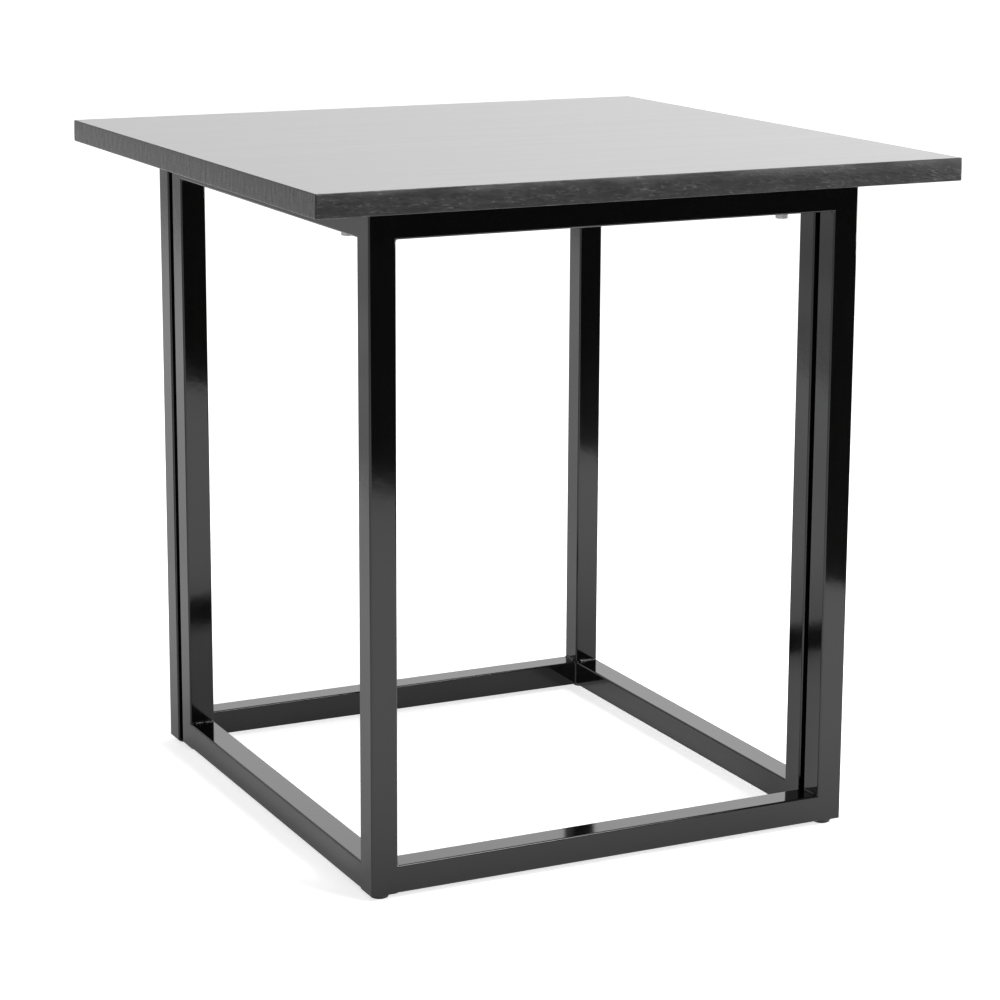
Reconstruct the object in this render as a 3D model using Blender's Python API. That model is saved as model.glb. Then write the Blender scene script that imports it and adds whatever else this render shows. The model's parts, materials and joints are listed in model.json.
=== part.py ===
"""Square bistro table.

A black-stained solid wood top, 750 mm square, is screwed from below to two L-shaped welded frames
of 30 mm square steel tube. The rear frame is the front frame turned half a turn about the vertical,
so the front right and back left corners each have a pair of legs with a narrow seam between them.
Every leg stands on a screw-in levelling foot.

Metres, +Z up. The origin is on the floor under the centre of the top. -Y is the front, the side
where the top overhangs the base least. The wood grain runs along X.
"""

from math import cos, pi, radians, sin

import bmesh
import bpy
from mathutils import Vector

# Tabletop
TOP_SIDE = 0.750
TOP_THICK = 0.025
TABLE_HEIGHT = 0.747
BOARD_COUNT = 7

# Base: square tube, and where the two L-shaped frames stand under the top
TUBE_SIDE = 0.030
TUBE_WALL = 0.0015
TUBE_CORNER = 0.002
FRAME_SIDE = 0.572
LEFT_OVERHANG = 0.0715
FRONT_OVERHANG = 0.037
SEAM = 0.005
REAR_FRAME_OFFSET = -0.003

# Levelling foot: a round pad, and an M8 stud whose flange turns inside it
PAD_RADIUS = 0.010
PAD_HEIGHT = 0.006
PAD_EDGE = 0.0015
PAD_FLOOR = 0.002
PAD_MOUTH = 0.0048
FLANGE_RADIUS = 0.006
FLANGE_THICK = 0.0018
STUD_RADIUS = 0.004
STUD_TOP = 0.031
PLUG_HEIGHT = 0.014

# Top fixing: one M8 hexagon-head screw up through each top rail into an insert nut
SCREW_INSET = 0.087
SCREW_RADIUS = 0.004
SCREW_LENGTH = 0.0445
SCREW_CHAMFER = 0.0008
HEAD_FLATS = 0.013
HEAD_HEIGHT = 0.0055
HEAD_CHAMFER = 0.0008
HEAD_TURN = radians(30)
RAIL_HOLE_RADIUS = 0.0046
INSERT_RADIUS = 0.006
INSERT_BORE = 0.0044
INSERT_LENGTH = 0.016
POCKET_RADIUS = 0.0064
POCKET_DEPTH = 0.0175

# Clearances: between touching pieces, and round a stud that turns
GAP = 0.0003
TURN_GAP = 0.0005

# Facets of the round pieces
PAD_SIDES = 20
PLUG_SIDES = 16
SCREW_SIDES = 12
CORNER_STEPS = 3
SHARP_ANGLE = radians(35)

HALF_TOP = TOP_SIDE / 2
UNDERSIDE = TABLE_HEIGHT - TOP_THICK
LEG_TOP = UNDERSIDE - GAP
RAIL_LENGTH = FRAME_SIDE - 2 * TUBE_SIDE - 2 * GAP
TOP_RAIL_AXIS = LEG_TOP - TUBE_SIDE / 2
BOTTOM_RAIL_AXIS = PAD_HEIGHT + TUBE_SIDE / 2
SCREW_SEAT = LEG_TOP - TUBE_SIDE - GAP


def clear_scene():
    """Remove whatever the scene starts with."""
    for obj in list(bpy.data.objects):
        bpy.data.objects.remove(obj, do_unlink=True)


def make_material(name, colour, roughness, metallic, coat=0.0):
    """A Principled material of one colour."""
    material = bpy.data.materials.new(name)
    material.use_nodes = True
    material.diffuse_color = (*colour, 1.0)
    shader = material.node_tree.nodes["Principled BSDF"]
    shader.inputs["Base Color"].default_value = (*colour, 1.0)
    shader.inputs["Roughness"].default_value = roughness
    shader.inputs["Metallic"].default_value = metallic
    shader.inputs["Coat Weight"].default_value = coat
    return material


def circle(radius, sides):
    """Points of a circle, anticlockwise about the origin."""
    angles = [2 * pi * i / sides for i in range(sides)]
    return [(radius * cos(angle), radius * sin(angle)) for angle in angles]


def polygon(apothem, flats, sides):
    """Points at even angles on a regular polygon that has a flat facing +X."""
    wedge = 2 * pi / flats
    points = []
    for i in range(sides):
        angle = 2 * pi * i / sides
        reach = apothem / cos((angle + wedge / 2) % wedge - wedge / 2)
        points.append((reach * cos(angle), reach * sin(angle)))
    return points


def rounded_square(side, radius, steps):
    """Points of a square outline with round corners, anticlockwise about the origin."""
    reach = side / 2 - radius
    points = []
    for corner, (x_sign, y_sign) in enumerate(((1, 1), (-1, 1), (-1, -1), (1, -1))):
        for step in range(steps + 1):
            angle = (corner + step / steps) * pi / 2
            points.append((x_sign * reach + radius * cos(angle), y_sign * reach + radius * sin(angle)))
    return points


def skin(outlines, ring=False):
    """A closed solid skinned over (outline, height) pairs.

    Neighbouring outlines have the same number of points, or one of them is empty and stands for a
    single point on the Z axis. With ring set, the last outline joins back to the first.
    """
    bm = bmesh.new()
    loops = [[bm.verts.new((x, y, z)) for x, y in outline or [(0.0, 0.0)]] for outline, z in outlines]
    if ring:
        loops.append(loops[0])
    for lower, upper in zip(loops, loops[1:]):
        count = max(len(lower), len(upper))
        for i in range(count):
            j = (i + 1) % count
            quad = (
                lower[i % len(lower)],
                lower[j % len(lower)],
                upper[j % len(upper)],
                upper[i % len(upper)],
            )
            bm.faces.new(list(dict.fromkeys(quad)))
    return bm


def hollow_prism(outer, inner, bottom, top):
    """An upright tube between two outlines with the same number of points, open at both ends."""
    return skin(((outer, bottom), (outer, top), (inner, top), (inner, bottom)), ring=True)


def turned(profile, sides, start, end):
    """A round solid over (radius, height) points, closed on the axis at heights start and end."""
    outlines = [(circle(radius, sides), z) for radius, z in profile]
    return skin([([], start)] + outlines + [([], end)])


def to_mesh(name, bm):
    """Turn a bmesh into a mesh, smooth where it is round and sharp at its corners."""
    mesh = bpy.data.meshes.new(name)
    bm.to_mesh(mesh)
    bm.free()
    mesh.shade_smooth()
    mesh.set_sharp_from_angle(angle=SHARP_ANGLE)
    return mesh


def add_object(name, mesh, material, location, rotation=(0.0, 0.0, 0.0), parent=None):
    """Place one named sub-part."""
    obj = bpy.data.objects.new(name, mesh)
    if not mesh.materials:
        mesh.materials.append(material)
    obj.location = location
    obj.rotation_euler = rotation
    obj.parent = parent
    bpy.context.scene.collection.objects.link(obj)
    return obj


def add_empty(name, location, turn):
    """A guide that carries the pieces of one frame."""
    empty = bpy.data.objects.new(name, None)
    empty.location = location
    empty.rotation_euler = (0.0, 0.0, turn)
    empty.empty_display_size = 0.05
    bpy.context.scene.collection.objects.link(empty)
    return empty


def drill(obj, place, radius, bottom, top):
    """Cut an upright round hole in an object, at a world place, between two world heights."""
    bm = bmesh.new()
    bmesh.ops.create_cone(
        bm,
        cap_ends=True,
        segments=SCREW_SIDES,
        radius1=radius,
        radius2=radius,
        depth=top - bottom,
    )
    bmesh.ops.translate(bm, vec=Vector((place.x, place.y, (bottom + top) / 2)), verts=bm.verts)
    cutter = bpy.data.objects.new("cutter", to_mesh("cutter", bm))
    bpy.context.scene.collection.objects.link(cutter)
    modifier = obj.modifiers.new("hole", "BOOLEAN")
    modifier.operation = "DIFFERENCE"
    modifier.object = cutter
    view = bpy.context.evaluated_depsgraph_get()
    mesh = bpy.data.meshes.new_from_object(obj.evaluated_get(view))
    obj.modifiers.remove(modifier)
    obj.data = mesh
    bpy.data.objects.remove(cutter, do_unlink=True)


def tube_mesh(name, length):
    """Hollow square tube along Z, centred on the origin."""
    outer = rounded_square(TUBE_SIDE, TUBE_CORNER, CORNER_STEPS)
    inner = rounded_square(TUBE_SIDE - 2 * TUBE_WALL, TUBE_CORNER - TUBE_WALL, CORNER_STEPS)
    return to_mesh(name, hollow_prism(outer, inner, -length / 2, length / 2))


def plug_mesh():
    """Square plug for the lower end of a leg, with the hole that the stud screws into."""
    side = TUBE_SIDE - 2 * TUBE_WALL - 2 * GAP
    outer = polygon(side / 2, 4, PLUG_SIDES)
    bore = circle(STUD_RADIUS + TURN_GAP, PLUG_SIDES)
    return to_mesh("leg_plug", hollow_prism(outer, bore, 0.0, PLUG_HEIGHT))


def pad_mesh():
    """Round glide: flat sole, eased lower edge, and an undercut pocket for the stud's flange."""
    height = PAD_HEIGHT - GAP
    pocket_radius = FLANGE_RADIUS + TURN_GAP
    pocket_top = PAD_FLOOR + FLANGE_THICK + 2 * GAP
    profile = (
        (PAD_RADIUS - PAD_EDGE, 0.0),
        (PAD_RADIUS - 0.3 * PAD_EDGE, 0.3 * PAD_EDGE),
        (PAD_RADIUS, PAD_EDGE),
        (PAD_RADIUS, height),
        (PAD_MOUTH, height),
        (PAD_MOUTH, pocket_top),
        (pocket_radius, pocket_top),
        (pocket_radius, PAD_FLOOR),
    )
    return to_mesh("foot_pad", turned(profile, PAD_SIDES, 0.0, PAD_FLOOR))


def stud_mesh():
    """Levelling stud: a thin flange below a straight shank with a chamfered end."""
    bottom = PAD_FLOOR + GAP
    shoulder = bottom + FLANGE_THICK
    profile = (
        (FLANGE_RADIUS, bottom),
        (FLANGE_RADIUS, shoulder),
        (STUD_RADIUS, shoulder),
        (STUD_RADIUS, STUD_TOP - SCREW_CHAMFER),
        (STUD_RADIUS - SCREW_CHAMFER, STUD_TOP),
    )
    return to_mesh("foot_stud", turned(profile, SCREW_SIDES, bottom, STUD_TOP))


def screw_mesh():
    """Hexagon-head screw, head down, its lower corners chamfered; its bearing face is at height 0."""
    hexagon = polygon(HEAD_FLATS / 2, 6, SCREW_SIDES)
    outlines = (
        ([], -HEAD_HEIGHT),
        (circle(HEAD_FLATS / 2 - HEAD_CHAMFER / 2, SCREW_SIDES), -HEAD_HEIGHT),
        (hexagon, HEAD_CHAMFER - HEAD_HEIGHT),
        (hexagon, 0.0),
        (circle(SCREW_RADIUS, SCREW_SIDES), 0.0),
        (circle(SCREW_RADIUS, SCREW_SIDES), SCREW_LENGTH - SCREW_CHAMFER),
        (circle(SCREW_RADIUS - SCREW_CHAMFER, SCREW_SIDES), SCREW_LENGTH),
        ([], SCREW_LENGTH),
    )
    return to_mesh("top_screw", skin(outlines))


def insert_mesh():
    """Insert nut for the underside of the top."""
    outer = circle(INSERT_RADIUS, SCREW_SIDES)
    bore = circle(INSERT_BORE, SCREW_SIDES)
    return to_mesh("insert_nut", hollow_prism(outer, bore, 0.0, INSERT_LENGTH))


def build_legs(frame, names, root, meshes, materials):
    """The three legs of a frame: the corner leg, the one at the end of its +X arm, and of +Y."""
    near = TUBE_SIDE / 2
    far = FRAME_SIDE - near
    pieces = (
        ("leg", "frame", (PAD_HEIGHT + LEG_TOP) / 2),
        ("plug", "plug", PAD_HEIGHT),
        ("stud", "zinc", 0.0),
        ("pad", "pad", 0.0),
    )
    for name, (x, y) in zip(names, ((near, near), (far, near), (near, far))):
        for piece, material, height in pieces:
            label = f"{frame}_{piece}_{name}"
            add_object(label, meshes[piece], materials[material], (x, y, height), parent=root)


def build_arm(frame, side, along_x, root, meshes, materials):
    """The two rails of one arm and the screw through the top one. Returns the screw's place.

    The screw is near the rail's right-hand end as seen from outside the table.
    """
    across = TUBE_SIDE / 2
    middle = FRAME_SIDE / 2
    rotation = (0.0, pi / 2, 0.0) if along_x else (pi / 2, 0.0, 0.0)

    def at(distance, height):
        return Vector((distance, across, height) if along_x else (across, distance, height))

    for level, height in (("bottom", BOTTOM_RAIL_AXIS), ("top", TOP_RAIL_AXIS)):
        name = f"{frame}_{level}_rail_{side}"
        place = at(middle, height)
        rail = add_object(name, meshes["rail"], materials["frame"], place, rotation, root)

    place = at(FRAME_SIDE - SCREW_INSET if along_x else SCREW_INSET, SCREW_SEAT)
    turn = (0.0, 0.0, HEAD_TURN)
    name = f"{frame}_screw_{side}"
    screw = add_object(name, meshes["screw"], materials["zinc"], place, turn, root)
    bpy.context.view_layer.update()
    place = screw.matrix_world.translation.copy()
    drill(rail, place, RAIL_HOLE_RADIUS, LEG_TOP - 2 * TUBE_SIDE, LEG_TOP + TUBE_SIDE)
    return place


def build_frame(frame, arms, legs, corner, turn, meshes, materials):
    """One L-shaped frame, its corner leg's outer edge at corner, turned about the vertical."""
    root = add_empty(frame, corner, turn)
    build_legs(frame, legs, root, meshes, materials)
    return [
        build_arm(frame, arms[0], True, root, meshes, materials),
        build_arm(frame, arms[1], False, root, meshes, materials),
    ]


def build_top(screw_places, meshes, materials):
    """Boards side by side across the top, each pocketed for the insert nuts above its screws."""
    pitch = (TOP_SIDE + GAP) / BOARD_COUNT
    width = pitch - GAP
    for number in range(BOARD_COUNT):
        centre_y = -HALF_TOP + width / 2 + number * pitch
        bm = bmesh.new()
        bmesh.ops.create_cube(bm, size=1.0)
        bmesh.ops.scale(bm, vec=Vector((TOP_SIDE, width, TOP_THICK)), verts=bm.verts)
        name = f"top_board_{number + 1}"
        centre = (0.0, centre_y, TABLE_HEIGHT - TOP_THICK / 2)
        board = add_object(name, to_mesh(name, bm), materials["wood"], centre)
        bpy.context.view_layer.update()
        for place in screw_places:
            if abs(place.y - centre_y) < width / 2:
                drill(board, place, POCKET_RADIUS, UNDERSIDE - POCKET_DEPTH, UNDERSIDE + POCKET_DEPTH)
    for number, place in enumerate(screw_places, start=1):
        centre = (place.x, place.y, UNDERSIDE + GAP)
        add_object(f"top_insert_{number}", meshes["insert"], materials["brass"], centre)


def main():
    clear_scene()
    materials = {
        "wood": make_material("black_stained_wood", (0.045, 0.040, 0.036), 0.45, 0.0),
        "frame": make_material("gloss_black_steel", (0.012, 0.012, 0.013), 0.12, 0.0, coat=1.0),
        "pad": make_material("black_plastic", (0.020, 0.020, 0.021), 0.55, 0.0),
        "plug": make_material("grey_plastic", (0.100, 0.100, 0.105), 0.60, 0.0),
        "zinc": make_material("zinc_steel", (0.560, 0.570, 0.580), 0.35, 1.0),
        "brass": make_material("brass", (0.620, 0.470, 0.220), 0.40, 1.0),
    }
    meshes = {
        "leg": tube_mesh("leg_tube", LEG_TOP - PAD_HEIGHT),
        "rail": tube_mesh("rail_tube", RAIL_LENGTH),
        "plug": plug_mesh(),
        "pad": pad_mesh(),
        "stud": stud_mesh(),
        "screw": screw_mesh(),
        "insert": insert_mesh(),
    }
    left = -HALF_TOP + LEFT_OVERHANG
    front = -HALF_TOP + FRONT_OVERHANG
    right = left + FRAME_SIDE + REAR_FRAME_OFFSET
    back = front + FRAME_SIDE + SEAM + TUBE_SIDE
    frames = (
        ("front_frame", ("front", "left"), ("corner", "right", "back"), (left, front, 0.0), 0.0),
        ("rear_frame", ("back", "right"), ("corner", "left", "front"), (right, back, 0.0), pi),
    )
    places = []
    for frame, arms, legs, corner, turn in frames:
        places += build_frame(frame, arms, legs, corner, turn, meshes, materials)
    build_top(places, meshes, materials)


main()
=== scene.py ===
"""Looks of the square bistro table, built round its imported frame.

Metres, +Z up, origin on the floor under the centre of the top. -Y is the front and the wood grain
runs along X.
"""

import json
from itertools import product
from math import cos, pi, radians, sin

import bmesh
import bpy
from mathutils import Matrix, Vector, noise


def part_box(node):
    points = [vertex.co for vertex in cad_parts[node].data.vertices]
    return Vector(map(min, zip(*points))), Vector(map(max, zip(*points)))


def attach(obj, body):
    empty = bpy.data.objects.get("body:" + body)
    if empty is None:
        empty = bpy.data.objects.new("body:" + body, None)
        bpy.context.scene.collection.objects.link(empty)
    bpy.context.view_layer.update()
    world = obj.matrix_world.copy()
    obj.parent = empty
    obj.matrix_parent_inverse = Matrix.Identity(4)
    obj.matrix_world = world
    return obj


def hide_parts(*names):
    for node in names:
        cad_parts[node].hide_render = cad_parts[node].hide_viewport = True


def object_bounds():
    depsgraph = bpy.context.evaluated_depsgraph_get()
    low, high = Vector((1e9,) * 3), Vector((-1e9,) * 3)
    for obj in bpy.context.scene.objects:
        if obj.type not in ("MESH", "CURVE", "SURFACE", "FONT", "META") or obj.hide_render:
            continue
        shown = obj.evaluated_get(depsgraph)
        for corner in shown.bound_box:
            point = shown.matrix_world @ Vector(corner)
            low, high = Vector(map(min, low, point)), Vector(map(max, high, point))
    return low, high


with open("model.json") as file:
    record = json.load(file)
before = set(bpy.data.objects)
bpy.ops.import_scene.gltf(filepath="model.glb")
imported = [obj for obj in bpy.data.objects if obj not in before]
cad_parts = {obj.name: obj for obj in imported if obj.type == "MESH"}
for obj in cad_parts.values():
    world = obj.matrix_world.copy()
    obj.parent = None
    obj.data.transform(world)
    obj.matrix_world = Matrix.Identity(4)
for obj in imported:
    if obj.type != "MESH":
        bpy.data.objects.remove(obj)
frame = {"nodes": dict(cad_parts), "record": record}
cad_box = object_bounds()

# Tabletop. Polygons that lie flatter than FACE_TILT are its lacquered faces.
ARRIS = 0.0012
ARRIS_STEPS = 3
CORNER = 0.0016
PANEL_STEP = 0.0025
PANEL_ROWS = 10
EDGE_RELIEF = 0.0004
EDGE_CROWN = 0.0005
CROWN_HEIGHT = 0.012
RING = 0.0004
FACE_TILT = 0.7
BOARDS = [f"top_board_{number}" for number in range(1, 8)]

# Stained wood. BOARD_SHIFT is how far the grain may differ from board to board.
BOARDS_PER_METRE = 9.33
BOARD_START = 3.5
BOARD_SHIFT = (3.0, 0.25, 0.4)
TEAR_SLANT = 1.2
# The next depth is how far down from the top the sawn edge's painted highlight reaches.
PAINTED_TOP_LIGHT_DEPTH = 0.013
SAWN_END = (0.4, 0.6)
GRAIN_BUMP = 0.00025
TEAR_BUMP = 0.0008
FACE_TONES = (0.012, 0.034)
PORE_TONE = 0.004
EDGE_TONES = (0.002, 0.007)
TORN_TONES = (0.006, 0.026)
# Painted highlight: the sawn edge turns this lighter tone near its upper arris, where light from
# above falls.
PAINTED_TOP_LIGHT_TONE = 0.075
# Painted glints: the next tone is put in light flecks on the torn grain of the sawn edge.
PAINTED_GLINT_TONE = 0.12
SAW_TONE = 0.05

# Other materials
FILM_IOR = 1.5
PAINT_TONES = (0.0012, 0.0022)
PAINT_ROUGH = (0.055, 0.095)
DUST_TONE = 0.05
ZINC = (0.56, 0.57, 0.58, 1.0)
BRASS = (0.62, 0.45, 0.20, 1.0)

# Welded frames. BEAD_NOISE is how fast a bead's size wanders along it and from bead to bead.
TUBE_ROUND = 0.002
WALL = 0.0015
WELD_GAP = 0.0003
BEAD_SIZE = 0.0026
BEAD_BULGE = 0.0003
BEAD_RIPPLE = 0.0016
BEAD_WANDER = 0.30
BEAD_NOISE = (210, 31, 17)
BEAD_END = 0.25
BEAD_RISE = 6.0
BEAD_STEPS = 6
BEAD_ROWS = 48
BEAD_SMOOTH = radians(60)
SOCKET_HEIGHT = 0.040
SOCKET_RUNOUT = 0.01
ROUND_STEPS = 4
SHARP = radians(50)
FLAT = 0.999999
TOUCH = 1e-5
FRAMES = {
    "front_frame": {"legs": ("corner", "right", "back"), "arms": ("front", "left")},
    "rear_frame": {"legs": ("corner", "left", "front"), "arms": ("back", "right")},
}

# Threaded studs and hexagon-head screws
THREAD_PITCH = 0.00125
THREAD_DEPTH = 0.00068
THREAD_FLANK = 2.4
THREAD_SIDES = 24
THREAD_ROWS = 8
THREAD_SMOOTH = radians(50)
STUD_RADIUS = 0.004
FLANGE_RADIUS = 0.006
FLANGE_HEIGHT = 0.0018
FLANGE_EASE = 0.0002
SCREW_SIDES = 48
SHANK_RADIUS = 0.004
HEAD_FLATS = 0.013
HEAD_HEIGHT = 0.0055
HEAD_TURN = radians(30)
HEAD_CONE = radians(30)
HEAD_FACE = 0.0059
DISH_RADIUS = 0.0046
DISH_DEPTH = 0.0003
DISH_SLOPE = 0.0006
WASHER_FACE = 0.0003
TIP_EASE = 0.0008
SCREW_SMOOTH = radians(25)

# Camera, turned by degrees
CAMERA_PLACE = (-1.4314, -2.936, 1.1063)
CAMERA_TURN = (77.755, -0.267, -26.053)
CAMERA_LENS = 104.109
CAMERA_SHIFT = -0.06
CAMERA_REACH = 200.0

# Studio floor, and the painted shadow on it behind the table, which only reflections see
FLOOR_SIZE = 80.0
FLOOR_TONES = (0.88, 0.90)
FLOOR_GLOW = 0.42
FLOOR_GLOW_FOR_CAMERA = 0.30
PAINTED_SHADOW_PLACE = (-0.45, 1.1, 0.0)
PAINTED_SHADOW_REACH = (0.3, 2.0)
PAINTED_SHADOW_DEPTH = 0.23

# Cards lying on the floor, which only reflections see
CARD_LIFT = 0.002
DARK_CARD_WIDTH = 8.0
DARK_CARD_LENGTH = 9.2
DARK_CARD_RIGHT = 1.22
DARK_CARD_AHEAD = 0.6
DARK_CARD_TURN = radians(3.0)
DARK_CARD_GLOW = 0.03
DARK_CARD_PATCH_GLOW = 0.30
DARK_CARD_PATCH = (-4.0, 4.6, 0.0)
DARK_CARD_PATCH_REACH = (0.2, 2.3)
GREY_CARD_SIZE = (4.0, 6.0)
GREY_CARD_PLACE = (-3.44, 2.75, CARD_LIFT)
GREY_CARD_TURN = radians(14)
GREY_CARD_GLOW = (0.58, 0.74)

# Studio walls. The heights and BEHIND are parts of a direction.
BEHIND = (-0.2, 0.5)
LOW_WALL_HEIGHT = (0.12, 0.32)
LOW_WALL_GLOW = (0.95, 1.60)
LOW_WALL_LEAN = 0.6
CEILING_HEIGHT = (0.45, 0.65)
CEILING_SHARE = 0.30
FRONT_GLOW = 0.15
GLOW_FOR_CAMERA = 1.1

SOFTBOXES = {
    "overhead": {
        "place": (0.3, -0.3, 3.0), "target": (0, 0, 0.4), "size": (1.6, 1.6), "power": 60.0,
    },
    "high_right": {
        "place": (1.3, -2.3, 2.7), "target": (0.2, -0.4, 0.5), "size": (0.9, 0.9), "power": 50.0,
    },
    "low_right": {
        "place": (2.4, -1.3, 0.5), "target": (0.3, -0.4, 0.55), "size": (1.0, 0.4), "power": 36.0,
        "seen": False,
    },
    "backdrop": {
        "place": (-1.0, 3.0, 2.6), "target": (-1.2, 3.4, 0.0), "size": (2.4, 1.2), "power": 10.0,
        "spread": 120.0,
    },
}

# Which output of a node is wanted
FROM_GENERATED = 0
FROM_NORMAL = 1
FROM_OBJECT = 3
IS_CAMERA_RAY = 0
AS_VALUE = 1


# ---------------------------------------------------------------------------------------------
# Shader helpers


class Shader:
    """A node tree being built, with short ways to add and join nodes."""

    def __init__(self, tree):
        self.tree = tree
        self.nodes = tree.nodes
        tree.nodes.clear()

    def add(self, kind, *inputs, output=0, **settings):
        """Add a node. Each input is (socket, value or socket to link); returns an output."""
        node = self.nodes.new("ShaderNode" + kind)
        for key, value in settings.items():
            setattr(node, key, value)
        for socket, value in inputs:
            self.put(node.inputs[socket], value)
        return node.outputs[output] if node.outputs else node

    def put(self, socket, value):
        """Set a socket, or link it if the value is another node's output."""
        if isinstance(value, bpy.types.NodeSocket):
            self.tree.links.new(value, socket)
        else:
            socket.default_value = value

    def math(self, operation, first, second=0.0, third=0.0):
        """A Math node."""
        return self.add("Math", (0, first), (1, second), (2, third), operation=operation)

    def times(self, first, second):
        """The product of two values."""
        return self.math("MULTIPLY", first, second)

    def plus(self, first, second):
        """The sum of two values."""
        return self.math("ADD", first, second)

    def minus(self, first, second):
        """The difference of two values."""
        return self.math("SUBTRACT", first, second)

    def parts(self, vector):
        """The three parts of a vector."""
        split = self.nodes.new("ShaderNodeSeparateXYZ")
        self.put(split.inputs[0], vector)
        return split.outputs

    def measure(self, operation, first, second):
        """A number made of two vectors, such as their distance."""
        return self.add("VectorMath", (0, first), (1, second), operation=operation, output=AS_VALUE)

    def object_place(self):
        """Where a point lies on its own object, in metres."""
        return self.add("TexCoord", output=FROM_OBJECT)

    def remap(self, value, low, high, to_low, to_high):
        """Map a range of a value to another, clamped."""
        return self.add(
            "MapRange", (0, value), (1, low), (2, high), (3, to_low), (4, to_high), clamp=True
        )

    def stretched(self, place, scale):
        """A place scaled along each axis."""
        return self.add("VectorMath", (0, place), (1, scale), operation="MULTIPLY")

    def noise(self, place, scale, detail=2.0, roughness=0.5, distortion=0.0):
        """Noise between 0 and 1."""
        return self.add(
            "TexNoise",
            ("Vector", place),
            ("Scale", scale),
            ("Detail", detail),
            ("Roughness", roughness),
            ("Distortion", distortion),
        )

    def mix(self, factor, first, second):
        """Mix two colours. Each may be a colour, a socket, or a number that stands for a grey."""
        node = self.nodes.new("ShaderNodeMix")
        node.data_type = "RGBA"
        self.put(node.inputs[0], factor)
        for socket, tone in ((6, first), (7, second)):
            self.put(node.inputs[socket], grey(tone) if isinstance(tone, float) else tone)
        return node.outputs[2]

    def bump(self, height, strength, distance, normal=None):
        """Bump from a height field."""
        inputs = [("Height", height), ("Strength", strength), ("Distance", distance)]
        if normal:
            inputs.append(("Normal", normal))
        return self.add("Bump", *inputs)


def grey(value):
    """A neutral colour."""
    return (value, value, value, 1.0)


def new_material(name):
    """A material with an empty node tree."""
    material = bpy.data.materials.new(name)
    material.use_nodes = True
    return material, Shader(material.node_tree)


def finish_material(shader, **values):
    """Close a tree with one Principled shader. Keys are socket names with _ for spaces."""
    surface = shader.nodes.new("ShaderNodeBsdfPrincipled")
    for key, value in values.items():
        shader.put(surface.inputs[key.replace("_", " ")], value)
    shader.add("OutputMaterial", ("Surface", surface.outputs[0]))


# ---------------------------------------------------------------------------------------------
# Materials


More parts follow.
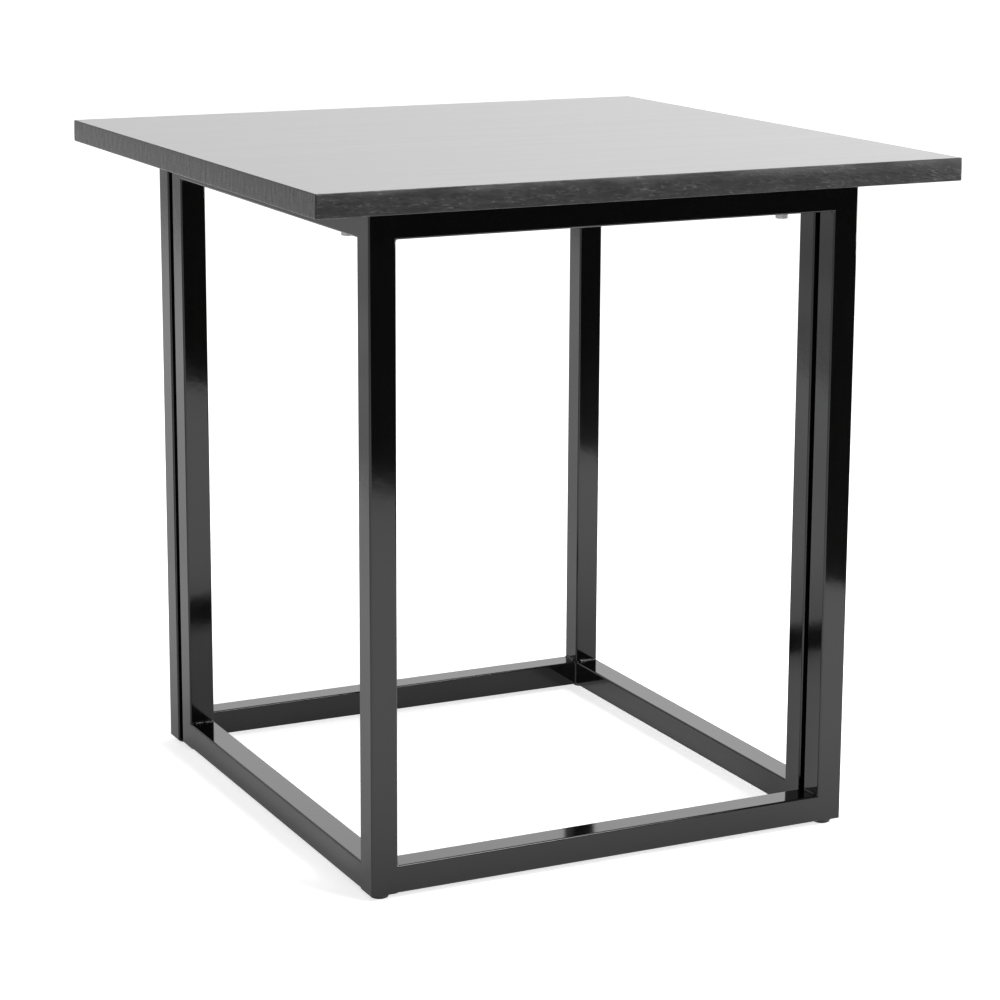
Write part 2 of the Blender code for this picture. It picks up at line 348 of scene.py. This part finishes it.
def wood_material(name, lacquered):
    """Solid wood under a black stain, the grain along X.

    The faces are planed and have a satin lacquer. The edges are sawn: torn grain along the board,
    with painted glints on the torn grain and a painted highlight near its upper arris, and upright
    saw marks across its end.
    """
    material, s = new_material(name)
    place = s.object_place()
    along, across, up = s.parts(place)

    board = s.math("FLOOR", s.math("MULTIPLY_ADD", across, BOARDS_PER_METRE, BOARD_START))
    draw = s.nodes.new("ShaderNodeTexWhiteNoise")
    draw.noise_dimensions = "1D"
    s.put(draw.inputs["W"], board)
    shift = s.stretched(draw.outputs[1], BOARD_SHIFT)
    own = s.add("VectorMath", (0, place), (1, shift), operation="ADD")

    bend = s.noise(s.stretched(own, (1.3, 6.0, 6.0)), 1.0, 2.0)
    rings = s.add(
        "TexWave",
        ("Vector", s.stretched(own, (0.35, 9.0, 14.0))),
        ("Scale", 3.1),
        ("Distortion", 3.2),
        ("Detail", 3.0),
        ("Detail Scale", 1.6),
        ("Phase Offset", s.times(bend, 6.0)),
        wave_type="RINGS",
        rings_direction="X",
        wave_profile="SAW",
    )
    fibre = s.noise(s.stretched(own, (7.0, 420.0, 420.0)), 1.0, 3.0, 0.6)
    streak = s.noise(s.stretched(own, (2.2, 60.0, 60.0)), 1.0, 4.0, 0.6)
    pores = s.noise(s.stretched(own, (42.0, 900.0, 900.0)), 1.0, 1.0)
    pores = s.remap(pores, 0.60, 0.72, 0.0, 1.0)
    height = s.plus(s.times(rings, 0.35), s.times(fibre, 0.30))
    height = s.minus(height, s.times(pores, 0.45))
    tone = s.plus(s.times(streak, 0.6), s.times(rings, 0.25))
    tone = s.plus(tone, s.times(draw.outputs[0], 0.15))
    rough = s.plus(s.times(fibre, 0.10), s.times(streak, 0.10))

    if lacquered:
        colour = s.mix(tone, *FACE_TONES)
        colour = s.mix(s.times(pores, 0.7), colour, PORE_TONE)
        finish_material(
            s,
            Base_Color=colour,
            Roughness=s.plus(rough, 0.26),
            IOR=FILM_IOR,
            Normal=s.bump(height, 0.35, GRAIN_BUMP),
            Coat_Weight=1.0,
            Coat_Roughness=0.28,
            Coat_IOR=FILM_IOR,
        )
        return material

    facing = s.parts(s.add("TexCoord", output=FROM_NORMAL))
    end = s.remap(s.math("ABSOLUTE", facing[0]), *SAWN_END, 0.0, 1.0)
    side = s.minus(1.0, end)
    slant = s.nodes.new("ShaderNodeCombineXYZ")
    leaning = s.math("MULTIPLY_ADD", up, TEAR_SLANT, along)
    for socket, value in zip(slant.inputs, (leaning, across, up)):
        s.put(socket, value)
    slanted = slant.outputs[0]
    clump = s.noise(s.stretched(slanted, (16.0, 16.0, 95.0)), 1.0, 3.0)
    clump = s.remap(clump, 0.35, 0.65, 0.25, 1.0)
    torn = s.noise(s.stretched(slanted, (110.0, 110.0, 360.0)), 1.0, 2.5, 0.5, 0.8)
    mottle = s.times(s.remap(torn, 0.36, 0.66, 0.0, 1.0), side)
    # Painted glints: small light flecks in clumps along the torn grain, on the long edges only.
    painted_glint = s.noise(s.stretched(slanted, (130.0, 130.0, 430.0)), 1.0, 1.5, 0.5, 0.5)
    painted_glint = s.times(s.times(s.remap(painted_glint, 0.60, 0.72, 0.0, 1.0), clump), side)
    # Painted highlight: the sawn edge's colour turns lighter towards its upper arris, where light
    # from above falls.
    top = cad_box[1][2]
    painted_top_light = s.remap(up, top - PAINTED_TOP_LIGHT_DEPTH, top, 0.0, 1.0)
    painted_top_light = s.times(s.times(painted_top_light, painted_top_light), side)
    saw = s.noise(s.stretched(place, (300.0, 300.0, 22.0)), 1.0, 3.0, 0.55)
    saw = s.times(saw, end)

    colour = s.mix(tone, *EDGE_TONES)
    colour = s.mix(mottle, colour, s.mix(clump, *TORN_TONES))
    # Painted highlight near the upper arris.
    colour = s.mix(s.times(painted_top_light, clump), colour, PAINTED_TOP_LIGHT_TONE)
    # Painted glints on the torn grain.
    colour = s.mix(s.times(painted_glint, 0.55), colour, PAINTED_GLINT_TONE)
    colour = s.mix(s.times(saw, 0.25), colour, SAW_TONE)
    uneven = s.plus(s.times(s.times(torn, clump), side), s.times(saw, 0.30))
    normal = s.bump(height, 0.2, GRAIN_BUMP, s.bump(uneven, 1.0, TEAR_BUMP))
    rough = s.plus(rough, s.math("MULTIPLY_ADD", end, -0.14, 0.32))
    finish_material(s, Base_Color=colour, Roughness=rough, Normal=normal, IOR=FILM_IOR)
    return material


def paint_material():
    """Gloss black stoved paint: faint orange peel, a little dust under the film."""
    material, s = new_material("gloss_black_paint")
    place = s.object_place()
    peel = s.noise(place, 150.0, 2.0, 0.45)
    wave = s.noise(place, 24.0, 2.0, 0.5)
    dust = s.remap(s.noise(place, 900.0, 1.0), 0.74, 0.80, 0.0, 1.0)
    smear = s.noise(s.stretched(place, (9.0, 9.0, 5.0)), 1.0, 4.0, 0.6)
    colour = s.mix(smear, *PAINT_TONES)
    colour = s.mix(s.times(dust, 0.25), colour, DUST_TONE)
    rough = s.remap(smear, 0.3, 0.7, *PAINT_ROUGH)
    normal = s.bump(wave, 0.10, 0.0006)
    normal = s.bump(peel, 0.12, 0.00012, normal)
    finish_material(s, Base_Color=colour, Roughness=rough, Normal=normal, IOR=FILM_IOR)
    return material


def plastic_material(name, tone, rough):
    """Moulded plastic with a fine spark-eroded grain."""
    material, s = new_material(name)
    place = s.object_place()
    grain = s.noise(place, 1400.0, 2.0, 0.6)
    cloud = s.noise(place, 60.0, 3.0)
    colour = s.mix(cloud, tone * 0.8, tone * 1.2)
    roughness = s.remap(cloud, 0.3, 0.7, rough - 0.06, rough + 0.06)
    normal = s.bump(grain, 0.25, 0.0001)
    finish_material(s, Base_Color=colour, Roughness=roughness, Normal=normal)
    return material


def metal_material(name, base, rough):
    """Plated or turned metal with fine scratches and a mottled finish."""
    material, s = new_material(name)
    place = s.object_place()
    mottle = s.noise(place, 240.0, 3.0, 0.6)
    scratch = s.noise(s.stretched(place, (500.0, 500.0, 3200.0)), 1.0, 2.0)
    dark = tuple(channel * 0.7 for channel in base[:3]) + (1.0,)
    colour = s.mix(mottle, dark, base)
    roughness = s.remap(mottle, 0.3, 0.7, rough - 0.08, rough + 0.10)
    normal = s.bump(scratch, 0.2, 0.00006)
    finish_material(s, Base_Color=colour, Metallic=1.0, Roughness=roughness, Normal=normal)
    return material


# ---------------------------------------------------------------------------------------------
# Meshes


def add_piece(name, mesh, material, slot, body, *nodes):
    """A visible piece that rides on a body and stands for CAD nodes."""
    piece = bpy.data.objects.new(name, mesh)
    mesh.materials.clear()
    mesh.materials.append(material)
    mesh.polygons.foreach_set("material_index", [0] * len(mesh.polygons))
    bpy.context.scene.collection.objects.link(piece)
    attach(piece, body)
    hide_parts(*nodes)


def smooth(mesh, angle):
    """Smooth shading that breaks at corners sharper than an angle."""
    mesh.shade_smooth()
    mesh.set_sharp_from_angle(angle=angle)
    return mesh


def shade(mesh):
    """Smooth shading that leaves flat faces truly flat and breaks at sharp corners."""
    bm = bmesh.new()
    bm.from_mesh(mesh)
    bm.normal_update()
    flat = {face.index for face in bm.faces if max(map(abs, face.normal)) > FLAT}
    normals = []
    for face in bm.faces:
        for loop in face.loops:
            beside = loop.vert.link_faces
            around = [other for other in beside if other.normal.angle(face.normal) < SHARP]
            level = [other for other in around if other.index in flat]
            if face.index in flat:
                normal = face.normal
            elif level:
                normal = level[0].normal
            else:
                normal = sum((other.normal * other.calc_area() for other in around), Vector())
            normals.append(normal.normalized())
    bm.free()
    mesh.shade_smooth()
    mesh.normals_split_custom_set(normals)
    return mesh


def skinned(name, loops):
    """A closed mesh skinned over loops of points that all have the same count."""
    bm = bmesh.new()
    rings = [[bm.verts.new(point) for point in loop] for loop in loops]
    count = len(rings[0])
    for lower, upper in zip(rings, rings[1:]):
        for i in range(count):
            j = (i + 1) % count
            bm.faces.new((lower[i], lower[j], upper[j], upper[i]))
    bm.faces.new(rings[0][::-1])
    bm.faces.new(rings[-1])
    if bm.calc_volume(signed=True) < 0:
        bmesh.ops.reverse_faces(bm, faces=bm.faces)
    mesh = bpy.data.meshes.new(name)
    bm.to_mesh(mesh)
    bm.free()
    return mesh


def panel_outline(half_x, half_y, inset):
    """Points round the panel in plan, anticlockwise, with slightly eased corners."""
    reach = CORNER - inset
    x, y = half_x - CORNER, half_y - CORNER
    centres = [Vector(centre) for centre in ((x, -y), (x, y), (-x, y), (-x, -y))]
    points = []
    for index, centre in enumerate(centres):
        start = (index - 1) * pi / 2
        for step in range(ARRIS_STEPS + 1):
            angle = start + step / ARRIS_STEPS * pi / 2
            points.append(centre + Vector((cos(angle), sin(angle))) * reach)
        side = centres[(index + 1) % 4] - centre
        out = Vector((cos(start + pi / 2), sin(start + pi / 2))) * reach
        count = round(side.length / PANEL_STEP)
        points += [centre + side * step / count + out for step in range(1, count)]
    return points


def relief(x, y, z, half_x, half_y):
    """How far the sawn edge lies below flat: torn long grain in front, flatter end grain."""
    if half_y - abs(y) < half_x - abs(x):
        coarse = noise.noise(Vector((x * 38, y * 5, z * 260)))
        torn = noise.noise(Vector((x * 120 + z * 160, y * 7 + 9, z * 420 - x * 30)))
        return max(0.0, 0.35 + 0.55 * coarse + 0.45 * max(torn, 0.0))
    return max(0.0, 0.25 + 0.35 * noise.noise(Vector((x * 5 + 3, y * 150, z * 90))))


def panel_mesh(low, high):
    """The glued-up top: flat faces, eased arrises, and sawn edges with a little relief."""
    half_x, half_y = (high.x - low.x) / 2, (high.y - low.y) / 2
    turns = [step / ARRIS_STEPS * pi / 2 for step in range(ARRIS_STEPS + 1)]
    eased = [(ARRIS * (1 - sin(turn)), ARRIS * (1 - cos(turn))) for turn in turns]
    span = high.z - low.z - 2 * ARRIS
    levels = [(inset, low.z + rise) for inset, rise in eased]
    levels += [(0.0, low.z + ARRIS + span * row / PANEL_ROWS) for row in range(1, PANEL_ROWS)]
    levels += [(inset, high.z - rise) for inset, rise in reversed(eased)]

    flat = panel_outline(half_x, half_y, 0.0)
    inner = panel_outline(half_x, half_y, ARRIS)
    loops = []
    for inset, z in levels:
        blend = inset / ARRIS
        loop = []
        for outer_point, inner_point in zip(flat, inner):
            depth = EDGE_RELIEF * relief(outer_point.x, outer_point.y, z, half_x, half_y)
            depth += EDGE_CROWN * max(0.0, 1 - (high.z - z) / CROWN_HEIGHT) ** 2
            towards = (inner_point - outer_point) / ARRIS
            point = outer_point + (inner_point - outer_point) * blend
            point = point + towards * depth * (1 - blend)
            loop.append((point.x, point.y, z))
        loops.append(loop)
    ring = panel_outline(half_x - RING, half_y - RING, ARRIS)
    loops.insert(0, [(point.x, point.y, low.z) for point in ring])
    loops.append([(point.x, point.y, high.z) for point in ring])
    return shade(skinned("top_panel", loops))


def boxes_union(boxes):
    """One closed surface round axis-aligned boxes, without inner walls."""
    cuts = [
        sorted({round(corner[axis], 6) for box in boxes for corner in box}) for axis in range(3)
    ]

    def inside(point):
        return any(all(low[k] < point[k] < high[k] for k in range(3)) for low, high in boxes)

    filled = set()
    for cell in product(*(range(len(cut) - 1) for cut in cuts)):
        if inside([(cut[n] + cut[n + 1]) / 2 for cut, n in zip(cuts, cell)]):
            filled.add(cell)

    bm = bmesh.new()
    made = {}

    def corner(index):
        if index not in made:
            made[index] = bm.verts.new([cuts[axis][n] for axis, n in enumerate(index)])
        return made[index]

    for cell in sorted(filled):
        for axis in range(3):
            for side in (0, 1):
                beside = list(cell)
                beside[axis] += 2 * side - 1
                if tuple(beside) in filled:
                    continue
                across, up = (axis + 1) % 3, (axis + 2) % 3
                ring = []
                for a, b in ((0, 0), (1, 0), (1, 1), (0, 1)):
                    index = list(cell)
                    index[axis] += side
                    index[across] += a
                    index[up] += b
                    ring.append(corner(tuple(index)))
                bm.faces.new(ring if side else ring[::-1])
    return bm


def evaluated(mesh, set_up):
    """The mesh as it comes out of modifiers that set_up adds to a spare object."""
    spare = bpy.data.objects.new("spare", mesh)
    bpy.context.scene.collection.objects.link(spare)
    set_up(spare)
    view = bpy.context.evaluated_depsgraph_get()
    result = bpy.data.meshes.new_from_object(spare.evaluated_get(view))
    bpy.data.objects.remove(spare, do_unlink=True)
    return result


def rounded(mesh):
    """Round the weighted edges: tube corners outside, weld fillets in the inner corners."""

    def set_up(spare):
        rounding = spare.modifiers.new("rounding", "BEVEL")
        rounding.limit_method = "WEIGHT"
        rounding.width = TUBE_ROUND
        rounding.segments = ROUND_STEPS
        rounding.use_clamp_overlap = False

    return evaluated(mesh, set_up)


def pocketed(mesh, legs):
    """Open the lower end of each leg, as far up as its plug needs."""
    pockets = []
    for low, high in legs:
        middle = (low + high) / 2
        half = (high.x - low.x) / 2 - WALL
        outline = [
            (middle.x + x, middle.y + y)
            for x, y in ((-half, -half), (half, -half), (half, half), (-half, half))
        ]
        heights = (low.z - SOCKET_RUNOUT, low.z + SOCKET_HEIGHT)
        loops = [[(x, y, z) for x, y in outline] for z in heights]
        cutter = bpy.data.objects.new("cutter", skinned("cutter", loops))
        bpy.context.scene.collection.objects.link(cutter)
        pockets.append(cutter)

    def set_up(spare):
        for cutter in pockets:
            pocket = spare.modifiers.new("pocket", "BOOLEAN")
            pocket.operation = "DIFFERENCE"
            pocket.solver = "MANIFOLD"
            pocket.object = cutter

    result = evaluated(mesh, set_up)
    for cutter in pockets:
        bpy.data.objects.remove(cutter, do_unlink=True)
    return result


def weldment_mesh(name, legs, rails):
    """A welded frame: round tube corners, fillets in the inner corners, open feet."""
    bm = boxes_union(legs + rails)
    bm.normal_update()
    floor = min(low.z for low, _ in legs)
    weight = bm.edges.layers.float.new("bevel_weight_edge")
    for edge in bm.edges:
        ends = [vert.co for vert in edge.verts]
        on_end = all(abs(point.z - floor) < TOUCH for point in ends) and any(
            all(low[k] - TOUCH < point[k] < high[k] + TOUCH for k in range(2) for point in ends)
            for low, high in legs
        )
        if edge.calc_face_angle() > SHARP and not on_end:
            edge[weight] = 1.0
    mesh = bpy.data.meshes.new(name)
    bm.to_mesh(mesh)
    bm.free()
    return shade(pocketed(rounded(mesh), legs))


def bead_mesh(name, low, high, along, inward, upward):
    """A small weld bead where one end of a rail meets a leg.

    The bead lies across the rail's end at low or high, on the side that upward points to.
    """
    across = 1 - along
    start = low[along] if inward > 0 else high[along]
    level = high.z if upward > 0 else low.z
    length = high[across] - low[across] - 2 * TUBE_ROUND
    per_travel, per_x, per_y = BEAD_NOISE
    loops = []
    for row in range(BEAD_ROWS + 1):
        travel = length * row / BEAD_ROWS
        taper = min(1.0, BEAD_END + BEAD_RISE * min(row, BEAD_ROWS - row) / BEAD_ROWS)
        where = (travel * per_travel, low.x * per_x + inward, low.y * per_y + upward)
        wander = noise.noise(Vector(where))
        size = BEAD_SIZE * taper * (1 + BEAD_WANDER * wander)
        bulge = BEAD_BULGE * taper * (0.6 + abs(sin(pi * travel / BEAD_RIPPLE + 2 * wander)))
        outline = [(-WELD_GAP, -WELD_GAP), (-WELD_GAP, size)]
        for step in range(BEAD_STEPS + 1):
            part = step / BEAD_STEPS
            swell = bulge * sin(pi * part)
            outline.append((size * part + swell, size * (1 - part) + swell))
        outline.append((size, -WELD_GAP))
        loop = []
        for out, rise in outline:
            point = [0.0, 0.0, level + upward * rise]
            point[along] = start + inward * out
            point[across] = low[across] + TUBE_ROUND + travel
            loop.append(tuple(point))
        loops.append(loop)
    return skinned(name, loops)


def polar(centre, angle, reach, z):
    """A point round an upright axis."""
    return (centre.x + reach * cos(angle), centre.y + reach * sin(angle), z)


def thread_mesh(name, centre, low, high):
    """A stud with a helical thread that fades out at its ends, over a slim round flange."""

    def ring(z, reach):
        return [polar(centre, 2 * pi * i / THREAD_SIDES, reach, z) for i in range(THREAD_SIDES)]

    eased = FLANGE_RADIUS - FLANGE_EASE
    loops = [
        ring(low, eased),
        ring(low + FLANGE_EASE, FLANGE_RADIUS),
        ring(low + FLANGE_HEIGHT - FLANGE_EASE, FLANGE_RADIUS),
        ring(low + FLANGE_HEIGHT, eased),
    ]
    low += FLANGE_HEIGHT
    loops.append(ring(low, STUD_RADIUS - THREAD_DEPTH))
    rows = round((high - low) / THREAD_PITCH * THREAD_ROWS)
    for row in range(1, rows + 1):
        z = low + (high - low) * row / rows
        fade = min(1.0, (high - z) / THREAD_PITCH, (z - low) / THREAD_PITCH)
        loop = []
        for i in range(THREAD_SIDES):
            turn = i / THREAD_SIDES
            phase = (z / THREAD_PITCH - turn) % 1.0
            crest = min(1.0, THREAD_FLANK * min(phase, 1 - phase))
            reach = STUD_RADIUS - THREAD_DEPTH * (1 - crest * max(fade, 0.0))
            loop.append(polar(centre, 2 * pi * turn, reach, z))
        loops.append(loop)
    return smooth(skinned(name, loops), THREAD_SMOOTH)


def screw_mesh(name, centre, head_low, seat, tip):
    """A hexagon-head screw, head down: turned face with a shallow dish, chamfered corners."""
    angles = [2 * pi * i / SCREW_SIDES for i in range(SCREW_SIDES)]
    wedge = pi / 3

    def flats(angle):
        return HEAD_FLATS / 2 / cos((angle + wedge / 2) % wedge - wedge / 2)

    def ring(reaches, heights):
        return [
            polar(centre, angle + HEAD_TURN, reach, z)
            for angle, reach, z in zip(angles, reaches, heights)
        ]

    def circle(reach, z):
        return ring([reach] * SCREW_SIDES, [z] * SCREW_SIDES)

    reaches = [flats(angle) for angle in angles]
    cone = [head_low + (reach - HEAD_FACE) * sin(HEAD_CONE) for reach in reaches]
    loops = [
        circle(DISH_RADIUS - DISH_SLOPE, head_low + DISH_DEPTH),
        circle(DISH_RADIUS, head_low),
        circle(HEAD_FACE, head_low),
        ring(reaches, cone),
        ring(reaches, [seat - WASHER_FACE] * SCREW_SIDES),
        circle(HEAD_FACE, seat - WASHER_FACE),
        circle(HEAD_FACE, seat),
        circle(SHANK_RADIUS, seat),
        circle(SHANK_RADIUS, tip - TIP_EASE),
        circle(SHANK_RADIUS - TIP_EASE, tip),
    ]
    return smooth(skinned(name, loops), SCREW_SMOOTH)


# ---------------------------------------------------------------------------------------------
# Building


def add_panel(face_material, edge_material):
    """The top, one surface over its glued boards."""
    lows, highs = zip(*(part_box(board) for board in BOARDS))
    low = Vector([min(corner[axis] for corner in lows) for axis in range(3)])
    high = Vector([max(corner[axis] for corner in highs) for axis in range(3)])
    mesh = panel_mesh(low, high)
    add_piece("top_panel", mesh, face_material, "tabletop_wood", "table", *BOARDS)
    mesh.materials.append(edge_material)
    for polygon in mesh.polygons:
        polygon.material_index = int(abs(polygon.normal.z) < FACE_TILT)


def long_axis(low, high):
    """The axis a rail runs along."""
    return 0 if high.x - low.x > high.y - low.y else 1


def add_weldment(frame_name, legs, arms, material):
    """One welded frame over its tubes. The rails reach the legs across the CAD's gap."""
    leg_nodes = [f"{frame_name}_leg_{leg}" for leg in legs]
    levels = ("bottom", "top")
    rail_nodes = [f"{frame_name}_{level}_rail_{arm}" for arm in arms for level in levels]
    rails = []
    for node in rail_nodes:
        low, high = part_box(node)
        along = long_axis(low, high)
        low[along] -= WELD_GAP
        high[along] += WELD_GAP
        rails.append((low, high))
    name = f"{frame_name}_steel"
    mesh = weldment_mesh(name, [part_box(node) for node in leg_nodes], rails)
    add_piece(name, mesh, material, "frame_steel", "table", *leg_nodes, *rail_nodes)

    name = f"{frame_name}_welds"
    bm = bmesh.new()
    for node, (low, high) in zip(rail_nodes, rails):
        along = long_axis(low, high)
        upward = 1 if "bottom" in node else -1
        for inward in (1, -1):
            bm.from_mesh(bead_mesh(name, low, high, along, inward, upward))
    beads = bpy.data.meshes.new(name)
    bm.to_mesh(beads)
    bm.free()
    add_piece(name, smooth(beads, BEAD_SMOOTH), material, "frame_steel", "table")


def add_studs(material, bodies):
    """Threaded studs for the levelling feet."""
    for node, body in bodies.items():
        low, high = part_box(node)
        centre = (low + high) / 2
        mesh = thread_mesh(f"{node}_thread", centre, low.z, high.z)
        add_piece(f"{node}_thread", mesh, material, "screw_steel", body, node)


def add_screws(material, nodes):
    """Hexagon-head screws under the top rails."""
    for node in nodes:
        low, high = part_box(node)
        centre = (low + high) / 2
        mesh = screw_mesh(f"{node}_head", centre, low.z, low.z + HEAD_HEIGHT, high.z)
        add_piece(f"{node}_head", mesh, material, "screw_steel", "table", node)


def add_camera():
    """The view from the front left, a little above the top."""
    data = bpy.data.cameras.new("camera")
    data.lens = CAMERA_LENS
    data.shift_y = CAMERA_SHIFT
    data.clip_end = CAMERA_REACH
    camera = bpy.data.objects.new("camera", data)
    camera.location = CAMERA_PLACE
    camera.rotation_euler = [radians(angle) for angle in CAMERA_TURN]
    bpy.context.scene.collection.objects.link(camera)
    bpy.context.scene.camera = camera


def add_sheet(name, size, place, turn, material):
    """A flat staged sheet, turned about its upright."""
    x, y = size[0] / 2, size[1] / 2
    mesh = bpy.data.meshes.new(name)
    mesh.from_pydata([(-x, -y, 0), (x, -y, 0), (x, y, 0), (-x, y, 0)], [], [(0, 1, 2, 3)])
    mesh.materials.append(material)
    sheet = bpy.data.objects.new(name, mesh)
    sheet.location = place
    sheet.rotation_euler.z = turn
    bpy.context.scene.collection.objects.link(sheet)
    return sheet


def add_floor():
    """A plain white floor, lit a little from within so that shadows on it stay faint.

    Reflections see it dimmer behind the table: a painted shadow of the table, which the camera
    doesn't see.
    """
    material, s = new_material("studio_floor")
    place = s.object_place()
    colour = s.mix(s.noise(place, 3.0, 3.0), *FLOOR_TONES)
    seen = s.add("LightPath", output=IS_CAMERA_RAY)
    # Painted shadow: for all but camera rays the floor glows less round a place behind the table.
    reach = s.measure("DISTANCE", place, PAINTED_SHADOW_PLACE)
    painted_shadow = s.times(s.remap(reach, *PAINTED_SHADOW_REACH, PAINTED_SHADOW_DEPTH, 0.0), s.minus(1.0, seen))
    glow = s.minus(s.math("MULTIPLY_ADD", seen, FLOOR_GLOW_FOR_CAMERA, FLOOR_GLOW), painted_shadow)
    finish_material(
        s,
        Base_Color=colour,
        Roughness=0.9,
        Specular_IOR_Level=0.1,
        Emission_Color=grey(1.0),
        Emission_Strength=glow,
    )
    add_sheet("floor", (FLOOR_SIZE, FLOOR_SIZE), (0, 0, 0), 0, material)


def add_card(material, s, glow, size, place, turn):
    """A glowing card, named as its material, lying on the floor, which only reflections see."""
    emission = s.add("Emission", ("Color", grey(1.0)), ("Strength", glow))
    s.add("OutputMaterial", ("Surface", emission))
    card = add_sheet(material.name, size, place, turn, material)
    card.visible_camera = False
    card.visible_diffuse = False
    card.visible_shadow = False
    card.visible_transmission = False


def add_dark_card():
    """A dark card on the right of the table and in front, brighter at its far left corner."""
    material, s = new_material("dark_card")
    place = s.object_place()
    near = s.remap(s.measure("DISTANCE", place, DARK_CARD_PATCH), *DARK_CARD_PATCH_REACH, 1.0, 0.0)
    cloud = s.remap(s.noise(place, 2.4, 3.0, 0.6), 0.35, 0.65, 0.5, 1.5)
    patch = s.times(s.times(near, near), s.times(cloud, DARK_CARD_PATCH_GLOW))
    turn = radians(CAMERA_TURN[2]) + DARK_CARD_TURN
    right = Vector((cos(turn), sin(turn), 0))
    ahead = Vector((-sin(turn), cos(turn), 0))
    middle = right * (DARK_CARD_RIGHT + DARK_CARD_WIDTH / 2)
    middle += ahead * (DARK_CARD_AHEAD - DARK_CARD_LENGTH / 2) + Vector((0, 0, CARD_LIFT))
    size = (DARK_CARD_WIDTH, DARK_CARD_LENGTH)
    add_card(material, s, s.plus(patch, DARK_CARD_GLOW), size, middle, turn)


def add_grey_card():
    """A grey card behind the table on the left."""
    material, s = new_material("grey_card")
    glow = s.remap(s.noise(s.object_place(), 1.6, 2.0), 0.35, 0.65, *GREY_CARD_GLOW)
    add_card(material, s, glow, GREY_CARD_SIZE, GREY_CARD_PLACE, GREY_CARD_TURN)


def add_softbox(name, place, target, size, power, spread=180.0, seen=True):
    """A large soft area light."""
    data = bpy.data.lights.new(name, "AREA")
    data.spread = radians(spread)
    data.shape = "RECTANGLE"
    data.size, data.size_y = size
    data.energy = power
    lamp = bpy.data.objects.new(name, data)
    lamp.location = place
    lamp.rotation_euler = (Vector(target) - Vector(place)).to_track_quat("-Z", "Y").to_euler()
    lamp.visible_camera = seen
    bpy.context.scene.collection.objects.link(lamp)


def add_world():
    """A pale studio: bright behind the table, dimmer in front and overhead."""
    world = bpy.data.worlds.new("studio")
    world.use_nodes = True
    bpy.context.scene.world = world
    s = Shader(world.node_tree)
    direction = s.add("TexCoord", output=FROM_GENERATED)
    up = s.parts(direction)[2]
    turn = radians(CAMERA_TURN[2])
    ahead = s.measure("DOT_PRODUCT", direction, (-sin(turn), cos(turn), 0))
    sideways = s.measure("DOT_PRODUCT", direction, (cos(turn), sin(turn), 0))
    behind = s.remap(ahead, *BEHIND, 0.0, 1.0)
    low_wall = s.remap(up, *LOW_WALL_HEIGHT, *LOW_WALL_GLOW)
    low_wall = s.times(low_wall, s.math("MULTIPLY_ADD", sideways, LOW_WALL_LEAN, 1.0))
    wall = s.times(low_wall, s.remap(up, *CEILING_HEIGHT, 1.0, CEILING_SHARE))
    level = s.plus(s.times(wall, behind), s.times(s.minus(1.0, behind), FRONT_GLOW))
    seen = s.add("LightPath", output=IS_CAMERA_RAY)
    level = s.plus(s.times(level, s.minus(1.0, seen)), s.times(seen, GLOW_FOR_CAMERA))
    background = s.add("Background", ("Color", grey(1.0)), ("Strength", level))
    s.add("OutputWorld", ("Surface", background))


def main():
    """Build the visible pieces, the studio and the camera."""
    face = wood_material("lacquered_wood", True)
    edge = wood_material("stained_edge", False)
    paint = paint_material()
    rubber = plastic_material("black_plastic", 0.016, 0.42)
    cap = plastic_material("grey_plastic", 0.060, 0.50)
    zinc = metal_material("zinc_steel", ZINC, 0.34)
    brass = metal_material("brass", BRASS, 0.40)

    bodies = frame["record"]["behaviour"]["bodies"]
    body_of = {node: body for body, members in bodies.items() for node in members}
    for node, piece in frame["nodes"].items():
        for key, material in (("_pad_", rubber), ("_plug_", cap), ("_insert_", brass)):
            if key in node:
                for holder in piece.material_slots:
                    holder.material = material

    add_panel(face, edge)
    for name, parts in FRAMES.items():
        add_weldment(name, parts["legs"], parts["arms"], paint)
    studs = {node: body_of[node] for node in sorted(frame["nodes"]) if "_stud_" in node}
    add_studs(zinc, studs)
    screws = [node for node in sorted(frame["nodes"]) if "_screw_" in node]
    add_screws(zinc, screws)

    add_camera()
    add_floor()
    add_dark_card()
    add_grey_card()
    add_world()
    for name, values in SOFTBOXES.items():
        add_softbox(name, **values)
    bpy.context.scene.view_settings.view_transform = "Standard"


main()
